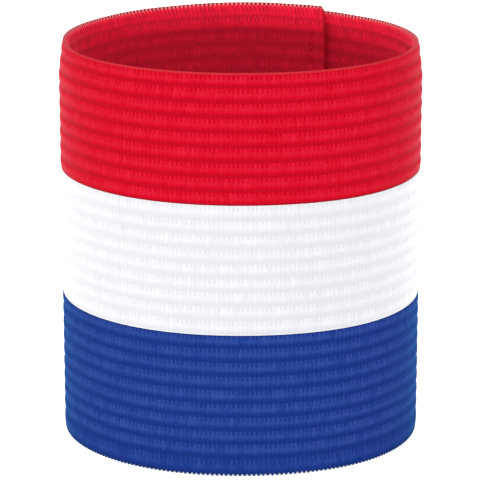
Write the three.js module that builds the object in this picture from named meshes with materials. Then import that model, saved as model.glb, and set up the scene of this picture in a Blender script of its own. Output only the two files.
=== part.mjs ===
import * as THREE from 'three';

// Captain armband: one ribbed, knitted elastic in three colours, wound once round
// and closed by lapping its two ends. Millimetres, +Z up. The origin is the middle
// of the lower rim, on which the armband stands.

// The tube
const height = 90;
const outerRadius = 40.6; // over the outer ribs, at the lower rim
const flare = 0.4; // what the radius gains from the lower rim to the upper one
const rimTurn = 0.6; // how far the upper rim turns in
const rimTurnHeight = 6; // height over which it does so
const wall = 1.7; // thickness of the knit over the ribs of both faces

// The ribs, which run round the tube one above the other on both faces
const outerRibDepth = 0.3;
const innerRibDepth = 0.25;
const ribShoulder = 0.25; // share of a rib's height that each of its two slopes takes

// The lap that closes the tube
const seamAzimuth = 60; // degrees from +X, where the inner end shows inside
const lapLength = 7; // how far the two ends cover each other
const lapClearance = 0.3; // between the two lapped layers
const lapEase = 9; // length over which a layer steps in or out to make room for the other
const rimDrop = 1.05; // how far the outer end's upper rim lies lower than the tube's

const bandClearance = 0.2; // between one colour and the next
const facetAngle = 10; // degrees that a facet of the walls takes
const leastFacet = 2; // degrees, below which a last facet joins the one beside it
const knitRoughness = 0.85;

// The three colours from the lower rim up: their shares of the tube's height, and how
// high their lowest and highest ribs are beside those between them.
const bands = [
  { name: 'blue_band', share: 0.355, ribs: 10, lowestRib: 1.28, highestRib: 0.91, color: 0x2a4592 },
  { name: 'white_band', share: 0.323, ribs: 9, lowestRib: 1.09, highestRib: 1.04, color: 0xf3f2f7 },
  { name: 'red_band', share: 0.322, ribs: 9, lowestRib: 0.91, highestRib: 0.91, color: 0xd80f2a },
];

// How low the upper rim lies round the tube, clockwise from the seam in degrees, as
// shares of rimDrop. The outer end droops and the inner end stands a little proud.
const rimSag = [
  { fromSeam: 0, share: 1 },
  { fromSeam: 40, share: 0.9 },
  { fromSeam: 85, share: 0.35 },
  { fromSeam: 240, share: 0.35 },
  { fromSeam: 270, share: 0.3 },
  { fromSeam: 300, share: 0 },
  { fromSeam: 330, share: -0.3 },
  { fromSeam: 360, share: -0.4 },
];

const middleRadius = outerRadius - wall / 2;
const layerOffset = (wall + lapClearance) / 2;

// The heights of one colour's ribs from its lower edge up.
function ribHeights(band) {
  const middleRibs = band.ribs - 2;
  const middleRib = (height * band.share) / (band.lowestRib + middleRibs + band.highestRib);
  const between = new Array(middleRibs).fill(middleRib);
  return [middleRib * band.lowestRib, ...between, middleRib * band.highestRib];
}

// The cut through one colour of the knit, with +X outwards and +Y up: the ribs of the
// outer face going up, then those of the inner face coming down.
function bandSection(band, clearanceAbove) {
  const outerCrest = wall / 2;
  const innerCrest = -wall / 2;
  const outerValley = outerCrest - outerRibDepth;
  const innerValley = innerCrest + innerRibDepth;
  const heights = ribHeights(band);
  heights[band.ribs - 1] -= clearanceAbove;

  const section = new THREE.Shape();
  let y = 0;
  section.moveTo(outerValley, y);
  for (const rib of heights) {
    section.lineTo(outerCrest, y + rib * ribShoulder);
    section.lineTo(outerCrest, y + rib * (1 - ribShoulder));
    y += rib;
    section.lineTo(outerValley, y);
  }
  for (const rib of [...heights].reverse()) {
    section.lineTo(innerValley, y);
    section.lineTo(innerCrest, y - rib / 2);
    y -= rib;
  }
  section.lineTo(innerValley, 0);
  return section;
}

// The azimuths of the facets' edges in degrees, clockwise from the outer end, over the
// lap, once round the tube and up to the inner end.
function facetAzimuths() {
  const first = seamAzimuth + THREE.MathUtils.radToDeg(lapLength / middleRadius);
  const last = seamAzimuth - 360;
  const azimuths = [first];
  let azimuth = Math.floor((first - leastFacet) / facetAngle) * facetAngle;
  for (; azimuth > last + leastFacet; azimuth -= facetAngle) azimuths.push(azimuth);
  azimuths.push(last);
  return azimuths;
}

// How far the middle of the wall lies outside middleRadius: out at the outer end, in at
// the inner end, and nothing once each layer has eased back into the tube.
function lapOffset(azimuth, azimuths) {
  const lengthOf = (degrees) => THREE.MathUtils.degToRad(degrees) * middleRadius;
  const eased = (length) => 1 - THREE.MathUtils.smoothstep(length, lapLength, lapLength + lapEase);
  const outEnd = eased(lengthOf(azimuths[0] - azimuth));
  const inEnd = eased(lengthOf(azimuth - azimuths[azimuths.length - 1]));
  return layerOffset * (outEnd - inEnd);
}

// How far the middle of the wall lies outside middleRadius at a height, by the flare and
// the upper rim's turn.
function leanAt(y) {
  return (flare * y) / height - rimTurn * THREE.MathUtils.smoothstep(y, height - rimTurnHeight, height);
}

// How far the upper rim lies lower at an azimuth.
function sagAt(azimuth) {
  const turned = Math.max(seamAzimuth - azimuth, 0);
  const next = Math.max(rimSag.findIndex((row) => row.fromSeam >= turned), 1);
  const a = rimSag[next - 1];
  const b = rimSag[next];
  const way = THREE.MathUtils.smoothstep(turned, a.fromSeam, b.fromSeam);
  return rimDrop * THREE.MathUtils.lerp(a.share, b.share, way);
}

// One colour: its section drawn out straight, one unit of length a facet, and then
// wound round the tube. base is the height of its lower edge.
function bandGeometry(band, base, clearanceAbove) {
  const azimuths = facetAzimuths();
  const facets = azimuths.length - 1;
  const geometry = new THREE.ExtrudeGeometry(bandSection(band, clearanceAbove), {
    depth: facets,
    steps: facets,
    bevelEnabled: false,
  });
  const position = geometry.attributes.position;
  for (let i = 0; i < position.count; i += 1) {
    const azimuth = azimuths[Math.round(position.getZ(i))];
    const y = base + position.getY(i);
    const radius = middleRadius + position.getX(i) + lapOffset(azimuth, azimuths) + leanAt(y);
    const angle = THREE.MathUtils.degToRad(azimuth);
    const z = position.getY(i) - (sagAt(azimuth) * y) / height;
    position.setXYZ(i, radius * Math.cos(angle), radius * Math.sin(angle), z);
  }
  geometry.computeVertexNormals();
  return geometry;
}

const armband = new THREE.Group();
armband.name = 'captain_armband';
let base = 0;
bands.forEach((band, i) => {
  const clearanceAbove = i < bands.length - 1 ? bandClearance : 0;
  const knit = { color: band.color, roughness: knitRoughness, metalness: 0 };
  const geometry = bandGeometry(band, base, clearanceAbove);
  const mesh = new THREE.Mesh(geometry, new THREE.MeshStandardMaterial(knit));
  mesh.name = band.name;
  mesh.position.z = base;
  armband.add(mesh);
  base += height * band.share;
});

export default armband;
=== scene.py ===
import math

import bmesh
import bpy
import numpy as np
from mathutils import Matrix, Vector


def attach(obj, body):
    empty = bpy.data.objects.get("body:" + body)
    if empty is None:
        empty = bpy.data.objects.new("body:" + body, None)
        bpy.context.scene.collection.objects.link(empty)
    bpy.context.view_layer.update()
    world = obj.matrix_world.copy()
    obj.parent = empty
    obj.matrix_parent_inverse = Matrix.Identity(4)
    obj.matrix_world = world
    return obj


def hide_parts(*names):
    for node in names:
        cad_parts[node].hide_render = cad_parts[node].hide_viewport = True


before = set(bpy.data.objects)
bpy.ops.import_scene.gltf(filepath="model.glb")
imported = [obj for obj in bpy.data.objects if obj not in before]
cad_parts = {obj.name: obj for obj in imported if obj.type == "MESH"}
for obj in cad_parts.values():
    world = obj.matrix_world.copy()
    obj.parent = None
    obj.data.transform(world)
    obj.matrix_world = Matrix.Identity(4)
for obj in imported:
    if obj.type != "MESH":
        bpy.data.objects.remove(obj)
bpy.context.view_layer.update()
mm = 0.001  # the dictionaries below hold millimetres, apart from the studio's
print("frame loaded")

# Camera, at the photograph's angle

photoView = {
    "elevation": 14.67,  # degrees above the horizon
    "distance": 729.0,
    "lookAtHeight": 43.18,
    "sideStep": -0.15,  # the armband stands a hair right of the middle
    "lens": 239.9,
    "sensor": 36.0,
    "clip": (50.0, 50000.0),
}


def makeCamera():
    data = bpy.data.cameras.new("photo_camera")
    data.lens, data.sensor_width = photoView["lens"], photoView["sensor"]
    data.clip_start, data.clip_end = [reach * mm for reach in photoView["clip"]]
    camera = bpy.data.objects.new("photo_camera", data)
    bpy.context.scene.collection.objects.link(camera)
    tilt = math.radians(photoView["elevation"])
    away = photoView["distance"] * mm
    target = Vector((photoView["sideStep"] * mm, 0, photoView["lookAtHeight"] * mm))
    camera.location = target + Vector((0, -away * math.cos(tilt), away * math.sin(tilt)))
    camera.rotation_euler = (math.pi / 2 - tilt, 0, 0)
    bpy.context.scene.camera = camera


makeCamera()
print("camera ready")

# The tube: the CAD's, but for the half millimetre by which it is fitted to the photograph

tube = {
    "height": 90.3,
    "radius": 40.5,  # over the outer ribs at the lower rim
    "flare": 0.4,  # what the radius gains up to the upper rim
    "rimTurn": 0.75,  # how far the upper rim turns in
    "rimTurnHeight": 8.0,
    "wall": 1.7,  # over the ribs of both faces
    "outerRib": 0.21,  # depth of the valleys between the outer ribs
    "innerRib": 0.19,
    "seamAzimuth": 60.0,  # degrees from +X, where the inner end shows
    "lap": 7.0,  # how far the two ends cover each other
    "lapClearance": 0.3,
    "lapEase": 9.0,  # length over which a layer steps in or out
    "rimDrop": 1.05,  # how low the outer end's upper rim lies
    "stitches": 246,  # yarn columns in one turn
}

# How low the upper rim lies, clockwise from the seam in degrees, as shares of rimDrop
rimSag = [
    (0, 1.0),
    (40, 0.9),
    (85, 0.35),
    (240, 0.35),
    (270, 0.3),
    (300, 0.0),
    (330, -0.3),
    (360, -0.4),
]

# How far the tube stands outside a true round, clockwise from the seam in degrees
outOfRound = [
    (0, 0.4),
    (15, 0.5),
    (60, 0.0),
    (105, 0.5),
    (150, -0.4),
    (195, 0.0),
    (240, 0.0),
    (330, 0.1),
    (360, 0.4),
]

# Each colour's share of the height, its ribs, how high its lowest and its highest rib are
# beside the others, and the tone of its two edges: a line of painted shade along the blue
# and red edges, and of painted highlight along the white's
bands = [
    {"name": "blue", "share": 0.358, "ribs": 10, "lowest": 1.37, "highest": 0.91, "edgeTone": -0.5},
    {"name": "white", "share": 0.323, "ribs": 9, "lowest": 1.09, "highest": 1.04, "edgeTone": 0.8},
    {"name": "red", "share": 0.319, "ribs": 9, "lowest": 0.91, "highest": 0.91, "edgeTone": -0.7},
]

middleRadius = tube["radius"] - tube["wall"] / 2
lapAngle = tube["lap"] / middleRadius
stripLength = (2 * math.pi + lapAngle) * middleRadius
stripStitches = round(tube["stitches"] * stripLength / (2 * math.pi * middleRadius))
stitchPitch = stripLength / stripStitches


def ease(x, low, high):  # from 0 to 1, smoothly
    t = np.clip((x - low) / (high - low), 0, 1)
    return t * t * (3 - 2 * t)


def readTable(table, turned):  # smoothly from row to row
    value = np.zeros_like(turned)
    for (fromTurn, fromValue), (toTurn, toValue) in zip(table, table[1:]):
        here = (turned >= fromTurn) & (turned <= toTurn)
        eased = fromValue + (toValue - fromValue) * ease(turned, fromTurn, toTurn)
        value = np.where(here, eased, value)
    return value


def wind(along, out, height):
    # Round the tube: along the strip from its outer end, out from the middle of its wall, and up
    layer = (tube["wall"] + tube["lapClearance"]) / 2
    outEnd = 1 - ease(along, tube["lap"], tube["lap"] + tube["lapEase"])
    inEnd = 1 - ease(stripLength - along, tube["lap"], tube["lap"] + tube["lapEase"])
    share = height / tube["height"]
    lean = tube["flare"] * share
    lean -= tube["rimTurn"] * ease(height, tube["height"] - tube["rimTurnHeight"], tube["height"])
    azimuth = math.radians(tube["seamAzimuth"]) + lapAngle - along / middleRadius
    turned = np.clip(np.degrees(along / middleRadius - lapAngle), 0, 360)
    radius = middleRadius + readTable(outOfRound, turned) + out + layer * (outEnd - inEnd) + lean
    z = height - tube["rimDrop"] * readTable(rimSag, turned) * share
    return np.stack([radius * np.cos(azimuth), radius * np.sin(azimuth), z], axis=-1) * mm


# The knit: a flat grid of stitches, pulled into ribs and yarns and then wound round. A place is
# how far up its rib something lies, from 0 to 1, and a tone is a level of painted shade and
# light on the scale of the yarnTones further down.

knit = {
    "columns": [0.0, 0.22, 0.5, 0.78],  # across one stitch, from the gap beside it
    "sunk": [1.0, 0.55, 0.0, 0.55],  # how much of the gap each of them takes
    "outerRows": [0.0, 0.14, 0.3, 0.45, 0.6, 0.74, 0.89],  # places up one outer rib
    "innerRows": [0.0, 0.5],
    "innerRowsAbove": [0.0, 0.3, 0.55, 0.8],  # of the ribs just below the upper rim
    "ribsAbove": 2,
    "skew": 1.15,  # above 1, a rib is fullest above its middle
    "roundness": 0.8,  # of a rib: 1 is a sine, less is fuller
    "tilt": 0.35,  # radians that a rib's face looks down at its foot, and up at its top
    "loops": (0.56, 0.78),  # places where the gaps between the loops begin, and are full
    "loopsInside": (0.4, 0.8),
    "loopsInsideRim": (0.15, 0.55),  # on the highest rib
    "gapInside": 0.4,  # how full the gaps are on the ribs further down inside
    "gapDepth": 0.1,
    "gapDepthInside": 0.13,
    "plainDepth": 0.03,  # of the yarns on the rest of a rib
    "lean": 0.34,  # how far a loop may lean to a side
    "leanFrom": (0.05, 0.45),  # places over which that begins
    "leanAbout": 0.6,  # the place that stays upright
    "leanEase": 3.0,  # length over which it begins from a cut end
    "slant": (0.14, 0.2),  # how far all the loops of a rib lean, and how much that varies
    "slantInside": 0.9,
    "unevenness": 0.2,  # how much the gaps differ from stitch to stitch
    "gapRange": (0.5, 1.5),  # the least and the most that comes to
    "drift": 0.06,  # how far a rib wanders up and down
    "driftStitches": 25,  # how slowly it does so
    "scallop": 0.6,  # how far the gaps cut into the lower selvedge
    "scallopTop": 0.4,  # the place where that ends
    "borderGap": 0.02,  # between two colours
    "nip": 0.2,  # how much thinner the seam presses the two ends
    "nipLength": 5.0,
    "cornerDrop": 0.9,  # of the outer side of the inner end, at its upper corner
    "cornerLength": 0.5,
    "cornerHeight": 3.0,
    "cornerAcross": (-0.4, 0.6),  # where it begins across the wall, and is full
    "cutEdge": 0.01,  # what lies nearer to an end is on the cut itself
    "joined": 0.0001,  # what lies nearer together is one vertex
    "seed": 11,
}

# The knit's tones of painted shade and light, and the places over which they come and go
shades = {
    "foot": 0.02,  # of a rib outside, where its painted shade is deepest
    "face": (0.38, 0.1, 0.38),  # the painted light its face adds to that, and its two places
    "loops": (0.12, 0.5, 0.72),  # the painted light its loops add, and theirs
    # painted shade along each valley line
    "valley": -0.1,
    "lowestRib": -0.1,  # the painted shade the lowest rib adds to all of these
    "underside": 0.1,
    # inside, painted lighter on the ribs and with painted shade in the valleys
    "valleyInside": 0.76,
    "ribInside": 1.0,
    "downInside": 0.02,  # how much deeper the painted shade inside gets from rib to rib
    "gap": 0.46,  # how much painted shade deepens a full gap
    "gapInside": 0.75,  # share of that inside
    "loopGaps": (0.55, 0.77),  # places where the gaps between the loops begin, and are full
    "strandGaps": 0.65,  # share of that between the strands below the loops
    "strandsFrom": (0.06, 0.16),
    "strandsTo": (0.22, 0.48),
    "yarn": 0.05,  # how much the yarn differs from stitch to stitch
    "yarnFrom": (0.1, 0.4),
    "cutEnd": 0.8,
}

outwards, inwards, upwards, downwards = (1, 0), (-1, 0), (0, 1), (0, -1)  # out, and up
noFace, outerFace, innerFace = 0, 1, 2

# What a row of the knit is like where nothing else is said
plainRow = {
    "face": noFace,
    "rib": 0,
    "place": 0.0,
    "plain": 0.0,  # 1 where it shows its single yarns
    "gap": 0.0,  # how deep its gaps are
    "lift": 0.0,  # how far they rise
    "tone": 0.2,
    "rimHighlight": 0.0,  # how much painted highlight it shows
    "dots": 0.0,  # 1 where it does so in the middle of each loop only
}

# The cast-off loops along the upper rim, in rows from the outer face over to the inner one, with
# painted shade in their gaps and a painted highlight along the rim
castOff = {
    "foot": 0.36,  # how far below the rim's height the highest rib ends
    "rise": 0.56,  # of the loops from there
    "width": 0.3,  # of their outer side
    "dotting": 3,  # how small the dots of painted highlight are
    "looks": ("face", "gap", "holes", "lift", "tone", "rimHighlight", "dots"),  # holes: how much painted shade darkens its gaps
    # The side that a row is measured from, how many widths in and how many rises up it lies from
    # there, which way it faces, and its looks as named above
    "rows": [
        ("outer", 0.0, 0.0, outwards, outerFace, 0.9, 1.2, 0.0, 0.4, 0.0, 0),
        ("outer", 0.0, 0.3, outwards, outerFace, 0.1, 0.1, 0.0, 0.1, 0.03, 0),
        ("outer", 0.25, 1.0, upwards, outerFace, 0.0, 0.0, 0.0, 0.1, 0.06, 0),
        ("outer", 0.5, 0.9, upwards, noFace, 0.0, 2.8, 0.05, 0.5, 0.55, 1),
        ("outer", 0.75, 0.5, upwards, noFace, 0.0, 3.4, 0.0, 0.7, 0.9, 1),
        ("outer", 1.0, 0.05, upwards, noFace, 0.0, 2.8, 0.0, 0.7, 0.6, 1),
        ("middle", 0.0, 0.0, upwards, noFace, 0.0, 0.8, 0.0, 0.7, 0.16, 1),
        ("inner", -1.0, 0.1, upwards, noFace, 0.2, 0.2, 0.0, 0.8, 0.1, 1),
        ("inner", 0.0, -0.3, inwards, innerFace, 0.6, 1.0, 0.0, 0.95, 0.03, 1),
    ],
}

# The zigzag that sews the two ends together
zigzag = {
    "fromEnd": (2.5, 3.9),  # its two rows of holes, from the inner end
    "step": 1.6,  # up, from hole to hole
    "margin": 1.3,  # at both rims
    "radius": 0.12,  # of the thread
    "proud": 0.3,  # how many of those its middle lies off the ribs where it is taut
    # Shares of the way from hole to hole, and how far the thread rises from there
    "path": [(0.0, -0.45), (0.1, -0.12), (0.25, 0.0), (0.5, 0.04), (0.75, 0.0), (0.9, -0.12)],
    "dent": 0.08,
    "dentWidth": 0.45,
    "tone": 0.9,
}


def ribHeights(band):
    between = band["ribs"] - 2
    rib = tube["height"] * band["share"] / (band["lowest"] + between + band["highest"])
    return [rib * band["lowest"]] + [rib] * between + [rib * band["highest"]]


def toneAt(place):  # a rib is in deep shade below and brightest in its loops
    face, *facePlaces = shades["face"]
    loops, *loopPlaces = shades["loops"]
    tone = shades["foot"] + face * ease(place, *facePlaces)
    return float(tone + loops * ease(place, *loopPlaces))


def gapShadeAt(place):  # painted shade in the gaps: full between the loops, and less between the strands
    strands = shades["strandGaps"] * ease(place, *shades["strandsFrom"])
    strands = strands * (1 - ease(place, *shades["strandsTo"]))
    return float(strands + ease(place, *shades["loopGaps"]))


def sectionRows(band, base):
    # The rows of the knit once round its wall: under the lower edge, up outside, over the upper
    # one and down inside
    outerValley = tube["wall"] / 2 - tube["outerRib"]
    innerValley = -tube["wall"] / 2 + tube["innerRib"]
    middle = (outerValley + innerValley) / 2
    atTop, atBottom = band is bands[-1], band is bands[0]
    heights = ribHeights(band)
    lastRib = len(heights) - 1
    if atTop:
        heights[lastRib] -= castOff["foot"]
    low = base + (0 if atBottom else knit["borderGap"] / 2)
    high = base + sum(heights) - (0 if atTop else knit["borderGap"] / 2)
    scallop = knit["scallop"] if atBottom else 0.0
    rows = []

    def addRow(out, up, normal, **more):
        row = {**plainRow, "out": out, "up": up, **more}
        row["normalOut"], row["normalUp"] = normal
        row.setdefault("holes", row["gap"])
        rows.append(row)

    addRow(innerValley, low, inwards, lift=scallop)
    if atBottom:
        addRow(middle, low, downwards, lift=scallop, tone=shades["underside"])

    foot = base
    for rib, height in enumerate(heights):
        for place in knit["outerRows"]:
            swell = math.sin(math.pi * place ** knit["skew"]) ** knit["roundness"]
            tilt = math.cos(math.pi * place) * knit["tilt"]
            edge = rib == 0 and place == 0
            # painted shade and light up each rib, darkest at its valley
            tone = toneAt(place) if place > 0 else shades["valley"]
            lift = 0.0
            if atBottom and rib == 0:
                # more painted shade on the lowest rib
                tone += shades["lowestRib"]
                lift = scallop * float(1 - ease(place, 0, knit["scallopTop"]))
            addRow(
                outerValley + tube["outerRib"] * swell,
                low if edge else foot + height * place,
                (math.cos(tilt), -math.sin(tilt)),
                face=outerFace,
                rib=rib,
                place=place,
                gap=float(ease(place, *knit["loops"])),
                holes=gapShadeAt(place),
                lift=lift,
                plain=0.0 if edge else 1.0,
                tone=band["edgeTone"] if edge else tone,
            )
        foot += height

    if atTop:
        sides = {"outer": outerValley, "middle": middle, "inner": innerValley}
        for side, widthsIn, risesUp, normal, *looks in castOff["rows"]:
            out = sides[side] - castOff["width"] * widthsIn
            up = high + castOff["rise"] * risesUp
            addRow(out, up, normal, rib=lastRib, place=1.0, **dict(zip(castOff["looks"], looks)))
    else:
        onEdge = {"rib": lastRib, "place": 1.0}
        addRow(outerValley, high, outwards, face=outerFace, tone=band["edgeTone"], **onEdge)
        addRow(innerValley, high, inwards, face=innerFace, **onEdge)

    for rib in range(lastRib, -1, -1):
        height = heights[rib]
        foot -= height
        fine = atTop and rib > lastRib - knit["ribsAbove"]
        loops = knit["loopsInsideRim"] if rib == lastRib else knit["loopsInside"]
        for place in reversed(knit["innerRowsAbove"] if fine else knit["innerRows"]):
            if rib == 0 and place == 0:
                continue
            gap = float(ease(place, *loops)) if fine else float(place > 0) * knit["gapInside"]
            # painted light on the inner ribs, with painted shade in the valleys and deeper down
            tone = shades["ribInside"] if place > 0 else shades["valleyInside"]
            addRow(
                innerValley - tube["innerRib"] * math.sin(math.pi * place),
                foot + height * place,
                inwards,
                face=innerFace,
                rib=rib,
                place=place,
                gap=gap,
                holes=gap * shades["gapInside"],
                plain=1.0,
                tone=tone - shades["downInside"] * (lastRib - rib),
            )
    addRow(innerValley, low, inwards, lift=scallop)
    return rows


def uneven(rng, ribs):  # one value for each stitch of each rib, and none of them far out
    return np.clip(rng.normal(0, 1, (ribs, stripStitches + 1)), -2, 2)


def wandering(rng, ribs):  # a slow wander along each rib, between -1 and 1
    walk = np.cumsum(uneven(rng, ribs), axis=1)
    walk -= np.linspace(walk[:, 0], walk[:, -1], walk.shape[1], axis=1)
    kernel = np.hanning(knit["driftStitches"])
    kernel /= kernel.sum()
    walk = np.array([np.convolve(w, kernel, "same") for w in walk])
    return walk / np.abs(walk).max(axis=1, keepdims=True)


def needleHoles():  # from the inner end, and up
    count = int((tube["height"] - 2 * zigzag["margin"]) / zigzag["step"]) + 1
    return [(zigzag["fromEnd"][k % 2], zigzag["margin"] + k * zigzag["step"]) for k in range(count)]


def dented(sunk, face, along, up):  # by the seam's thread, round each of its holes
    fromEnd = np.where(face == innerFace, stripLength, tube["lap"]) - along
    for hole, holeUp in needleHoles():
        away = np.hypot(fromEnd - hole, up - holeUp)
        dent = zigzag["dent"] * np.exp(-((away / zigzag["dentWidth"]) ** 2))
        sunk = sunk + dent * (face > noFace)
    return sunk


def flatKnit(name, columnCount, rowCount):
    # The flat grid, and the column and row of it in which each vertex lies
    bm = bmesh.new()
    bmesh.ops.create_grid(bm, x_segments=columnCount, y_segments=rowCount, size=0.5)
    mesh = bpy.data.meshes.new(name)
    bm.to_mesh(mesh)
    bm.free()
    flat = np.empty(len(mesh.vertices) * 3)
    mesh.vertices.foreach_get("co", flat)
    flat = flat.reshape(-1, 3) + 0.5
    column = np.rint(flat[:, 0] * columnCount).astype(int)
    row = np.rint(flat[:, 1] * rowCount).astype(int)
    return mesh, column, row


def setAttribute(mesh, name, values):
    attribute = mesh.attributes.new(name, "FLOAT", "POINT")
    attribute.data.foreach_set("value", values.astype(np.float32))


def setUv(mesh, along, up):
    cornerVertex = np.empty(len(mesh.loops), int)
    mesh.loops.foreach_get("vertex_index", cornerVertex)
    uvs = np.stack([along, up], axis=-1)[cornerVertex]
    mesh.uv_layers.new(name="knit").data.foreach_set("uv", uvs.astype(np.float32).ravel())


def closeKnit(mesh):
    # Join the first and the last row, which meet under the lower edge, and fill the cut ends
    bm = bmesh.new()
    bm.from_mesh(mesh)
    edge = [v for v in bm.verts if v.is_boundary]
    bmesh.ops.remove_doubles(bm, verts=edge, dist=knit["joined"] * mm)
    for f in bm.faces:
        f.smooth = True
    bmesh.ops.holes_fill(bm, edges=[e for e in bm.edges if e.is_boundary], sides=0)
    bmesh.ops.recalc_face_normals(bm, faces=bm.faces)
    for f in bm.faces:
        if len(f.verts) > 4:  # the two cut ends
            f.smooth = False
    bm.to_mesh(mesh)
    bm.free()


def knitPiece(band, base, rng):
    rows = sectionRows(band, base)
    strands = len(knit["columns"])
    columnCount, rowCount = strands * stripStitches, len(rows) - 1
    mesh, column, row = flatKnit(band["name"] + "_knit", columnCount, rowCount)
    stitch, strand = column // strands, column % strands
    across = np.array(knit["columns"])[strand]
    inGap = np.array(knit["sunk"])[strand]

    def perRow(key):
        return np.array([r[key] for r in rows], float)[row]

    rib, place, face = perRow("rib").astype(int), perRow("place"), perRow("face")
    plain, up = perRow("plain"), perRow("up")
    depth, lean, tone = (uneven(rng, band["ribs"]) for _ in range(3))
    wander = wandering(rng, band["ribs"])
    slant = rng.normal(*knit["slant"], band["ribs"])

    # How deep the gaps are
    loosened = np.clip(1 + knit["unevenness"] * depth[rib, stitch], *knit["gapRange"])
    gap = inGap * perRow("gap") * loosened
    gapDepth = np.where(face == innerFace, knit["gapDepthInside"], knit["gapDepth"])
    sunk = gapDepth * gap + knit["plainDepth"] * inGap * plain

    # How far each strand leans, between the leans of two stitches, so that none cross
    along = (stitch + across) * stitchPitch
    toEnd = np.minimum(along, stripLength - along)
    way = across - 0.5  # from the middle of its stitch
    beside = np.clip(stitch + np.sign(way).astype(int), 0, stripStitches - 1)
    leaning = lean[rib, stitch] + (lean[rib, beside] - lean[rib, stitch]) * np.abs(way)
    leaning = knit["lean"] * leaning * ease(place, *knit["leanFrom"])
    slanted = np.where(face == innerFace, knit["slantInside"], slant[rib])
    side = (leaning - slanted) * (place - knit["leanAbout"]) * (face > noFace)
    along = along + side * ease(toEnd, 0, knit["leanEase"])

    # Where it lies on the flat strip, and then round the tube
    sunk = dented(sunk, face, along, up)
    nipped = 1 - knit["nip"] * (1 - ease(toEnd, 0, knit["nipLength"]))
    out = perRow("out") * nipped - sunk * perRow("normalOut")
    height = up - sunk * perRow("normalUp") + knit["drift"] * wander[rib, stitch] * plain
    height += inGap * perRow("lift")
    corner = ease(height, tube["height"] - knit["cornerHeight"], tube["height"])
    corner = corner * ease(out, *knit["cornerAcross"])
    height -= knit["cornerDrop"] * corner * (1 - ease(stripLength - along, 0, knit["cornerLength"]))
    mesh.vertices.foreach_set("co", wind(along, out, height).astype(np.float32).ravel())
    mesh.update()

    # What it looks like there: the yarn's random tone, with painted shade in the gaps and the
    # painted highlight along the upper rim
    yarn = shades["yarn"] * tone[rib, stitch] * ease(place, *shades["yarnFrom"]) * plain
    shade = perRow("tone") + yarn
    shade -= shades["gap"] * inGap * perRow("holes") * loosened
    shade = np.where(toEnd < knit["cutEdge"], shades["cutEnd"], shade)
    rimHighlight = perRow("rimHighlight") * (1 - inGap * perRow("dots")) ** castOff["dotting"]
    setAttribute(mesh, "tone", shade)
    setAttribute(mesh, "rimHighlight", rimHighlight * (toEnd > knit["cutEdge"]))
    setUv(mesh, along, up)

    closeKnit(mesh)
    piece = bpy.data.objects.new(band["name"] + "_knit", mesh)
    bpy.context.scene.collection.objects.link(piece)
    return piece


# Yarn colours and their materials: each yarn's colour lit and in painted shade at the yarnTones,
# and the colour of the painted highlight along the upper rim

yarns = {
    "red": {
        "tones": [
            (0.08, 0.003, 0.006),
            (0.40, 0.0001, 0.009),
            (0.455, 0.009, 0.026),
            (0.80, 0.011, 0.041),
        ],
        "rimHighlight": (0.78, 0.38, 0.38),
        "sheen": 0.4,
        "sheenTint": (1.0, 0.28, 0.34),
        "sheenRoughness": 0.28,
    },
    "white": {
        "tones": [
            (0.40, 0.40, 0.43),
            (0.46, 0.46, 0.49),
            (0.555, 0.55, 0.57),
            (0.74, 0.735, 0.76),
        ],
        "rimHighlight": (0.80, 0.80, 0.81),
        "sheen": 0.9,
        "sheenTint": (1.0, 1.0, 1.0),
        "sheenRoughness": 0.48,
    },
    "blue": {
        "tones": [
            (0.002, 0.006, 0.05),
            (0.006, 0.024, 0.155),
            (0.0225, 0.049, 0.211),
            (0.045, 0.092, 0.33),
        ],
        "rimHighlight": (0.20, 0.26, 0.50),
        "sheen": 0.25,
        "sheenTint": (0.0, 0.48, 1.0),
        "sheenRoughness": 0.28,
    },
}
yarnTones = [-1.0, 0.2, 0.65, 1.0]  # in painted shadow, in painted deep shade, lit outside and painted lighter inside

# The yarn's own streaks
fibres = {
    "across": 3.0,  # per millimetre
    "up": 1.5,
    "detail": 3,
    "strength": 0.4,  # how much of a tone they make
    "bump": 0.3,
    "bumpHeight": 0.2,
    "roughness": 0.9,
    "specular": 0.04,
}


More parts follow.
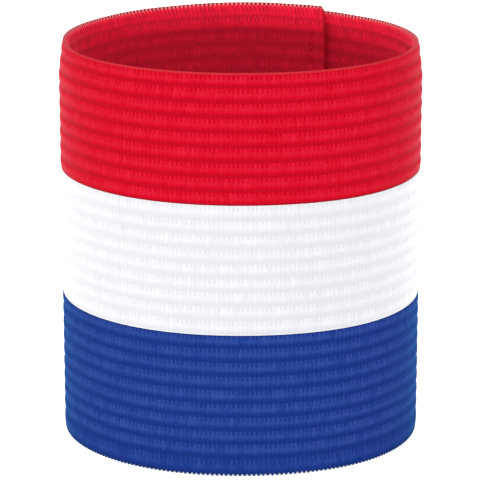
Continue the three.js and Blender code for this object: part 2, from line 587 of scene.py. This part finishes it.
def yarnMaterial(colour):
    yarn = yarns[colour]
    material = bpy.data.materials.new(colour + "_yarn")
    material.use_nodes = True
    nodes, links = material.node_tree.nodes, material.node_tree.links
    shader = nodes["Principled BSDF"]
    shader.inputs["Roughness"].default_value = fibres["roughness"]
    shader.inputs["Specular IOR Level"].default_value = fibres["specular"]
    shader.inputs["Sheen Weight"].default_value = yarn["sheen"]
    shader.inputs["Sheen Tint"].default_value = (*yarn["sheenTint"], 1)
    shader.inputs["Sheen Roughness"].default_value = yarn["sheenRoughness"]

    place = nodes.new("ShaderNodeUVMap")
    place.uv_map = "knit"
    stretch = nodes.new("ShaderNodeMapping")
    stretch.inputs["Scale"].default_value = (fibres["across"], fibres["up"], 1)
    links.new(place.outputs["UV"], stretch.inputs["Vector"])
    streaks = nodes.new("ShaderNodeTexNoise")
    streaks.noise_dimensions = "2D"
    streaks.inputs["Scale"].default_value = 1.0
    streaks.inputs["Detail"].default_value = fibres["detail"]
    links.new(stretch.outputs["Vector"], streaks.inputs["Vector"])

    tone = nodes.new("ShaderNodeAttribute")
    tone.attribute_name = "tone"
    total = nodes.new("ShaderNodeMath")  # tone + strength * streaks
    total.operation = "MULTIPLY_ADD"
    links.new(streaks.outputs["Fac"], total.inputs[0])
    total.inputs[1].default_value = fibres["strength"]
    links.new(tone.outputs["Fac"], total.inputs[2])

    lowest, highest = yarnTones[0], yarnTones[-1]
    spread = nodes.new("ShaderNodeMapRange")
    spread.inputs["From Min"].default_value = lowest + fibres["strength"] / 2
    spread.inputs["From Max"].default_value = highest + fibres["strength"] / 2
    links.new(total.outputs[0], spread.inputs["Value"])
    ramp = nodes.new("ShaderNodeValToRGB")
    stops = ramp.color_ramp.elements
    while len(stops) < len(yarnTones):
        stops.new(0.5)
    for stop, at, color in zip(stops, yarnTones, yarn["tones"]):
        stop.position = (at - lowest) / (highest - lowest)
        stop.color = (*color, 1)
    links.new(spread.outputs["Result"], ramp.inputs["Fac"])

    # the painted highlight along the upper rim, over the yarn's colour
    rimHighlight = nodes.new("ShaderNodeAttribute")
    rimHighlight.attribute_name = "rimHighlight"
    mixed = nodes.new("ShaderNodeMix")
    mixed.data_type = "RGBA"  # its colours are inputs 6 and 7 and output 2
    links.new(rimHighlight.outputs["Fac"], mixed.inputs[0])
    links.new(ramp.outputs["Color"], mixed.inputs[6])
    mixed.inputs[7].default_value = (*yarn["rimHighlight"], 1)
    links.new(mixed.outputs[2], shader.inputs["Base Color"])

    bump = nodes.new("ShaderNodeBump")
    bump.inputs["Strength"].default_value = fibres["bump"]
    bump.inputs["Distance"].default_value = fibres["bumpHeight"] * mm
    links.new(streaks.outputs["Fac"], bump.inputs["Height"])
    links.new(bump.outputs["Normal"], shader.inputs["Normal"])
    return material


def makeBands():
    rng = np.random.default_rng(knit["seed"])
    base = 0.0
    for band in bands:
        piece = knitPiece(band, base, rng)
        piece.data.materials.append(yarnMaterial(band["name"]))
        height = tube["height"] * band["share"]
        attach(piece, "root")
        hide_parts(band["name"] + "_band")
        base += height
        print(band["name"] + "_knit", "made,", len(piece.data.polygons), "faces")


makeBands()


def threadPiece(name, onInside, material):
    # One thread of the zigzag: down into each hole, and taut over the ribs between them
    surface = tube["wall"] / 2 + zigzag["radius"] * zigzag["proud"]
    holes = needleHoles()
    points = []
    for (fromA, low), (fromB, high) in zip(holes, holes[1:]):
        for way, rise in zigzag["path"]:
            fromEnd, out = fromA + (fromB - fromA) * way, surface + rise
            up = low + (high - low) * way
            if onInside:
                points.append((stripLength - fromEnd, -out, up))
            else:
                points.append((tube["lap"] - fromEnd, out, up))
    spots = wind(*np.array(points).T)

    curve = bpy.data.curves.new(name, "CURVE")
    curve.dimensions = "3D"
    curve.bevel_depth = zigzag["radius"] * mm
    curve.bevel_resolution = 1
    curve.use_fill_caps = True
    spline = curve.splines.new("POLY")
    spline.points.add(len(spots) - 1)
    for point, spot in zip(spline.points, spots):
        point.co = (*spot, 1)
    drawn = bpy.data.objects.new(name, curve)
    mesh = bpy.data.meshes.new_from_object(drawn)
    bpy.data.objects.remove(drawn)
    setAttribute(mesh, "tone", np.full(len(mesh.vertices), zigzag["tone"]))
    mesh.shade_smooth()
    mesh.materials.clear()
    mesh.materials.append(material)
    piece = bpy.data.objects.new(name, mesh)
    bpy.context.scene.collection.objects.link(piece)
    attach(piece, "root")


redYarn = bpy.data.materials["red_yarn"]
threadPiece("seam_thread_inside", True, redYarn)
threadPiece("seam_thread_outside", False, redYarn)
print("seam sewn")

# Floor and light

studio = {
    "floorSize": 12.0,  # metres
    "floorColor": (0.85, 0.85, 0.85),
    "floorGlow": 0.6,  # it is a light table, so that no hard shadow lies under the rim
    "sky": 0.76,
    "lights": [
        {"name": "overhead", "at": (0.0, -0.2, 1.6), "size": (1.6, 1.2), "power": 17.6},
        {"name": "front", "at": (0.0, -2.0, 0.222), "size": (5.0, 0.06), "power": 28.0},
        {"name": "left", "at": (-1.6, -0.5, 0.26), "size": (1.0, 0.1), "power": 7.5},
        {"name": "right", "at": (1.6, -0.5, 0.26), "size": (1.0, 0.1), "power": 2.8},
    ],
}


def makeFloor():
    bm = bmesh.new()
    bmesh.ops.create_grid(bm, x_segments=1, y_segments=1, size=studio["floorSize"] / 2)
    mesh = bpy.data.meshes.new("floor")
    bm.to_mesh(mesh)
    bm.free()
    floor = bpy.data.objects.new("floor", mesh)
    bpy.context.scene.collection.objects.link(floor)
    material = bpy.data.materials.new("floor_paper")
    material.use_nodes = True
    shader = material.node_tree.nodes["Principled BSDF"]
    shader.inputs["Base Color"].default_value = (*studio["floorColor"], 1)
    shader.inputs["Roughness"].default_value = 1.0
    shader.inputs["Specular IOR Level"].default_value = 0.0
    shader.inputs["Emission Color"].default_value = (1, 1, 1, 1)
    shader.inputs["Emission Strength"].default_value = studio["floorGlow"]
    floor.data.materials.append(material)


def makeSky():
    world = bpy.data.worlds.new("studio_sky")
    world.use_nodes = True
    nodes, links = world.node_tree.nodes, world.node_tree.links
    sky = nodes["Background"]
    sky.inputs["Color"].default_value = (1, 1, 1, 1)
    seen = nodes.new("ShaderNodeLightPath")
    strength = nodes.new("ShaderNodeMath")  # white where the camera looks past the floor
    strength.operation = "MULTIPLY_ADD"
    links.new(seen.outputs["Is Camera Ray"], strength.inputs[0])
    strength.inputs[1].default_value = 1 - studio["sky"]
    strength.inputs[2].default_value = studio["sky"]
    links.new(strength.outputs[0], sky.inputs["Strength"])
    bpy.context.scene.world = world


def makeLights():
    for spec in studio["lights"]:
        data = bpy.data.lights.new(spec["name"], "AREA")
        data.shape = "RECTANGLE"
        data.size, data.size_y = spec["size"]
        data.energy = spec["power"]
        light = bpy.data.objects.new(spec["name"], data)
        bpy.context.scene.collection.objects.link(light)
        light.location = spec["at"]
        aim = Vector((0, 0, tube["height"] * mm / 2)) - light.location
        light.rotation_euler = aim.to_track_quat("-Z", "Y").to_euler()


makeFloor()
makeSky()
makeLights()
bpy.context.scene.view_settings.view_transform = "Standard"
print("studio lit")
